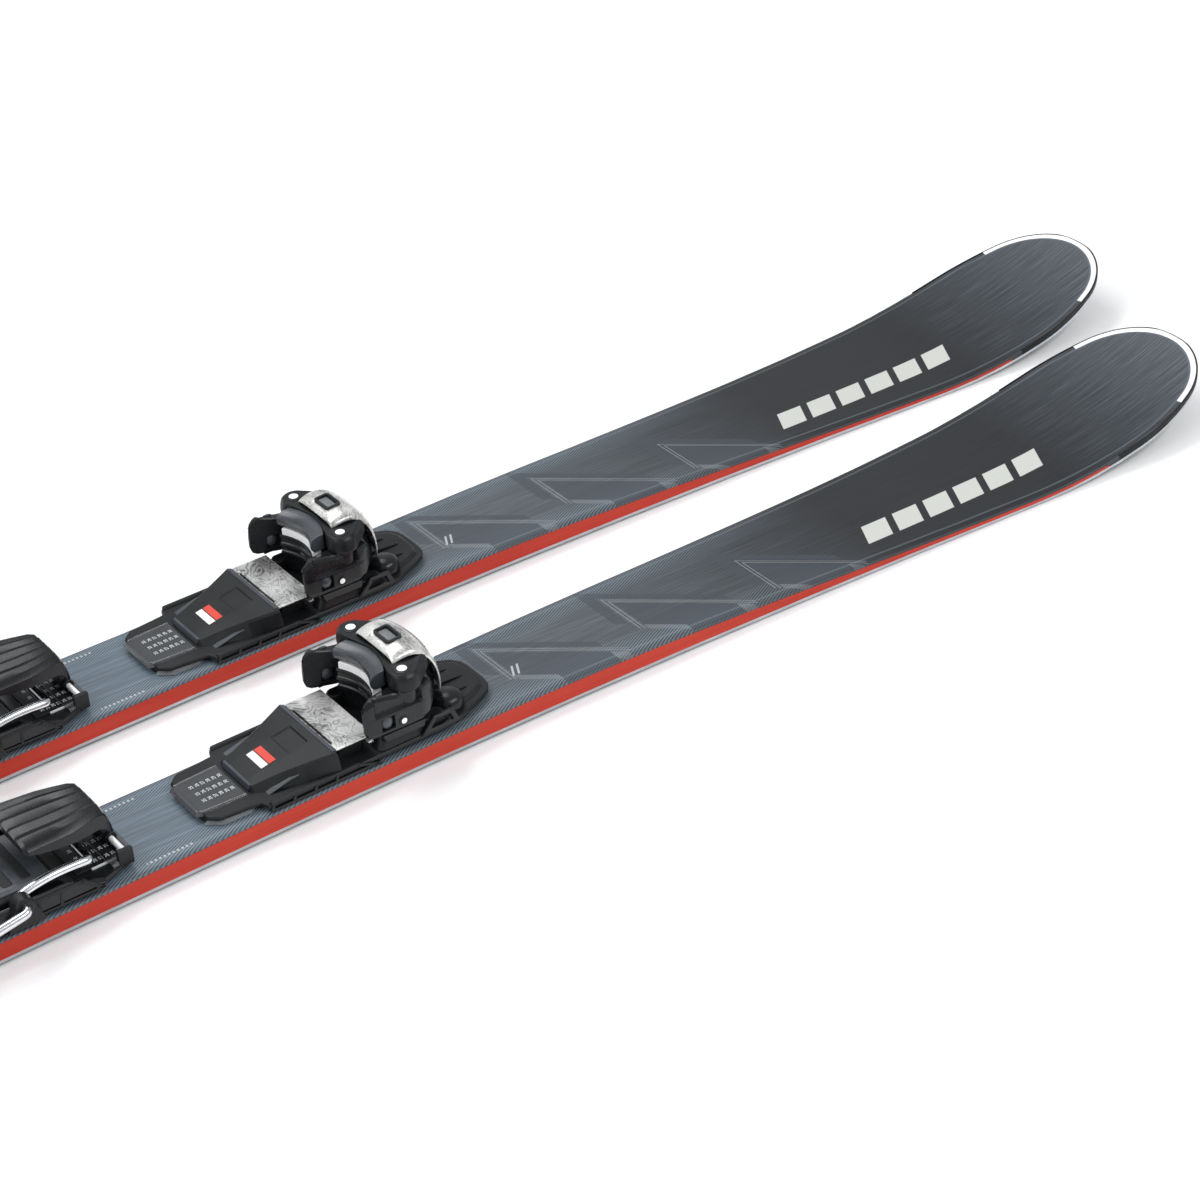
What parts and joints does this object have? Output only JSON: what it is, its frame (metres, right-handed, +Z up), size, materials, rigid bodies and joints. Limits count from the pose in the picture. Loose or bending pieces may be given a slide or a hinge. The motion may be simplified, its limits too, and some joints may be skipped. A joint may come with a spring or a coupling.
{
  "type": "alpine skis with bindings",
  "caption": "Pair of alpine skis with turned-up tips, red sidewalls and step-in bindings with toe wings, heel cups and brakes.",
  "frame": {"origin": "centre of the pair's footprint, on the floor", "axes": "+X towards the tips, +Y to the skier's left, +Z up"},
  "size_m": [1.614, 0.28, 0.106],
  "materials": {
    "base_black": "sintered plastic, satin",
    "edge_steel": "ground",
    "core_wood": "raw laminated wood",
    "sidewall_red": "satin",
    "topsheet": "printed, satin lacquer",
    "guard_silver": "satin chrome",
    "rail_black": "moulded",
    "screw_steel": "zinc plated",
    "binding_black": "fine moulded texture",
    "wing_black": "glass-filled, satin",
    "silver_plastic": "satin silver lacquer",
    "stop_grey": "moulded",
    "smoked_clear": "smoked clear plastic",
    "afd_silver": "low friction coating",
    "pin_steel": "polished",
    "spring_steel": "drawn wire",
    "brake_chrome": "polished wire"
  },
  "bodies": {
    "right_ski": {"right_running_base": "base_black", "right_end_guards": "guard_silver", "right_steel_edges": "edge_steel", "right_wood_core": "core_wood", "right_sidewalls": "sidewall_red", "right_topsheet": "topsheet", "right_toe_track": "rail_black", "right_heel_track": "rail_black", "right_mounting_screws": "screw_steel"},
    "right_toe_carriage": {"right_toe_base": "binding_black", "right_toe_scale_window": "smoked_clear", "right_toe_ramp": "binding_black", "right_toe_stop": "stop_grey", "right_toe_cover": "silver_plastic", "right_toe_indicator_window": "smoked_clear", "right_pivot_pins": "pin_steel", "right_toe_spring": "spring_steel", "right_toe_release_screw": "screw_steel"},
    "right_afd": {"right_afd_plate": "afd_silver"},
    "right_left_wing": {"right_toe_left_wing": "wing_black"},
    "right_right_wing": {"right_toe_right_wing": "wing_black"},
    "right_heel_carriage": {"right_heel_base": "binding_black", "right_heel_scale_window": "smoked_clear", "right_heel_pad": "stop_grey"},
    "right_cup": {"right_heel_cup": "wing_black", "right_heel_release_screw": "screw_steel"},
    "right_lever": {"right_heel_lever": "silver_plastic"},
    "right_pedal": {"right_brake_pedal": "binding_black"},
    "right_brake": {"right_brake_arms": "brake_chrome", "right_brake_tips": "rail_black"},
    "left_ski": {"left_running_base": "base_black", "left_end_guards": "guard_silver", "left_steel_edges": "edge_steel", "left_wood_core": "core_wood", "left_sidewalls": "sidewall_red", "left_topsheet": "topsheet", "left_toe_track": "rail_black", "left_heel_track": "rail_black", "left_mounting_screws": "screw_steel"},
    "left_toe_carriage": {"left_toe_base": "binding_black", "left_toe_scale_window": "smoked_clear", "left_toe_ramp": "binding_black", "left_toe_stop": "stop_grey", "left_toe_cover": "silver_plastic", "left_toe_indicator_window": "smoked_clear", "left_pivot_pins": "pin_steel", "left_toe_spring": "spring_steel", "left_toe_release_screw": "screw_steel"},
    "left_afd": {"left_afd_plate": "afd_silver"},
    "left_left_wing": {"left_toe_left_wing": "wing_black"},
    "left_right_wing": {"left_toe_right_wing": "wing_black"},
    "left_heel_carriage": {"left_heel_base": "binding_black", "left_heel_scale_window": "smoked_clear", "left_heel_pad": "stop_grey"},
    "left_cup": {"left_heel_cup": "wing_black", "left_heel_release_screw": "screw_steel"},
    "left_lever": {"left_heel_lever": "silver_plastic"},
    "left_pedal": {"left_brake_pedal": "binding_black"},
    "left_brake": {"left_brake_arms": "brake_chrome", "left_brake_tips": "rail_black"}
  },
  "joints": [
    {"name": "right_toe_slide", "type": "slide", "parent": "right_ski", "child": "right_toe_carriage", "axis": [1, 0, 0], "range_m": [-0.012, 0.012]},
    {"name": "right_heel_slide", "type": "slide", "parent": "right_ski", "child": "right_heel_carriage", "axis": [1, 0, 0], "range_m": [-0.012, 0.012]},
    {"name": "right_afd_slide", "type": "slide", "parent": "right_toe_carriage", "child": "right_afd", "axis": [0, 1, 0], "range_m": [-0.004, 0.004]},
    {"name": "right_left_wing_hinge", "type": "hinge", "parent": "right_toe_carriage", "child": "right_left_wing", "pos_m": [0.06, -0.049, 0.048], "axis": [0, 0, -1], "range_deg": [0, 25], "stiffness_Nm_per_rad": 2},
    {"name": "right_right_wing_hinge", "type": "hinge", "parent": "right_toe_carriage", "child": "right_right_wing", "pos_m": [0.06, -0.107, 0.048], "axis": [0, 0, 1], "range_deg": [0, 25], "stiffness_Nm_per_rad": 2},
    {"name": "right_heel_cup_hinge", "type": "hinge", "parent": "right_heel_carriage", "child": "right_cup", "pos_m": [-0.293, -0.078, 0.04], "axis": [0, -1, 0], "range_deg": [0, 35]},
    {"name": "right_heel_lever_hinge", "type": "hinge", "parent": "right_cup", "child": "right_lever", "pos_m": [-0.299, -0.078, 0.066], "axis": [0, -1, 0], "range_deg": [0, 15]},
    {"name": "right_brake_hinge", "type": "hinge", "parent": "right_heel_carriage", "child": "right_brake", "pos_m": [-0.207, -0.078, 0.036], "axis": [0, 1, 0], "range_deg": [-25, 12.5]},
    {"name": "right_pedal_hinge", "type": "hinge", "parent": "right_heel_carriage", "child": "right_pedal", "pos_m": [-0.135, -0.078, 0.029], "axis": [0, 1, 0], "range_deg": [-15.5, 30.5]},
    {"name": "left_toe_slide", "type": "slide", "parent": "left_ski", "child": "left_toe_carriage", "axis": [1, 0, 0], "range_m": [-0.012, 0.012]},
    {"name": "left_heel_slide", "type": "slide", "parent": "left_ski", "child": "left_heel_carriage", "axis": [1, 0, 0], "range_m": [-0.012, 0.012]},
    {"name": "left_afd_slide", "type": "slide", "parent": "left_toe_carriage", "child": "left_afd", "axis": [0, 1, 0], "range_m": [-0.004, 0.004]},
    {"name": "left_left_wing_hinge", "type": "hinge", "parent": "left_toe_carriage", "child": "left_left_wing", "pos_m": [0.114, 0.107, 0.048], "axis": [0, 0, -1], "range_deg": [0, 25], "stiffness_Nm_per_rad": 2},
    {"name": "left_right_wing_hinge", "type": "hinge", "parent": "left_toe_carriage", "child": "left_right_wing", "pos_m": [0.114, 0.049, 0.048], "axis": [0, 0, 1], "range_deg": [0, 25], "stiffness_Nm_per_rad": 2},
    {"name": "left_heel_cup_hinge", "type": "hinge", "parent": "left_heel_carriage", "child": "left_cup", "pos_m": [-0.239, 0.078, 0.04], "axis": [0, -1, 0], "range_deg": [0, 35]},
    {"name": "left_heel_lever_hinge", "type": "hinge", "parent": "left_cup", "child": "left_lever", "pos_m": [-0.245, 0.078, 0.066], "axis": [0, -1, 0], "range_deg": [0, 15]},
    {"name": "left_brake_hinge", "type": "hinge", "parent": "left_heel_carriage", "child": "left_brake", "pos_m": [-0.153, 0.078, 0.036], "axis": [0, 1, 0], "range_deg": [-25, 12.5]},
    {"name": "left_pedal_hinge", "type": "hinge", "parent": "left_heel_carriage", "child": "left_pedal", "pos_m": [-0.081, 0.078, 0.029], "axis": [0, 1, 0], "range_deg": [-15.5, 30.5]},
    {"name": "ski_offset", "type": "slide", "parent": "right_ski", "child": "left_ski", "axis": [1, 0, 0], "range_m": [-0.1, 0.1]}
  ],
  "couplings": [
    {"joint": "right_pedal_hinge", "follows": "right_brake_hinge", "ratio": -1.2},
    {"joint": "right_heel_lever_hinge", "follows": "right_heel_cup_hinge", "ratio": 0.4},
    {"joint": "left_pedal_hinge", "follows": "left_brake_hinge", "ratio": -1.2},
    {"joint": "left_heel_lever_hinge", "follows": "left_heel_cup_hinge", "ratio": 0.4}
  ]
}
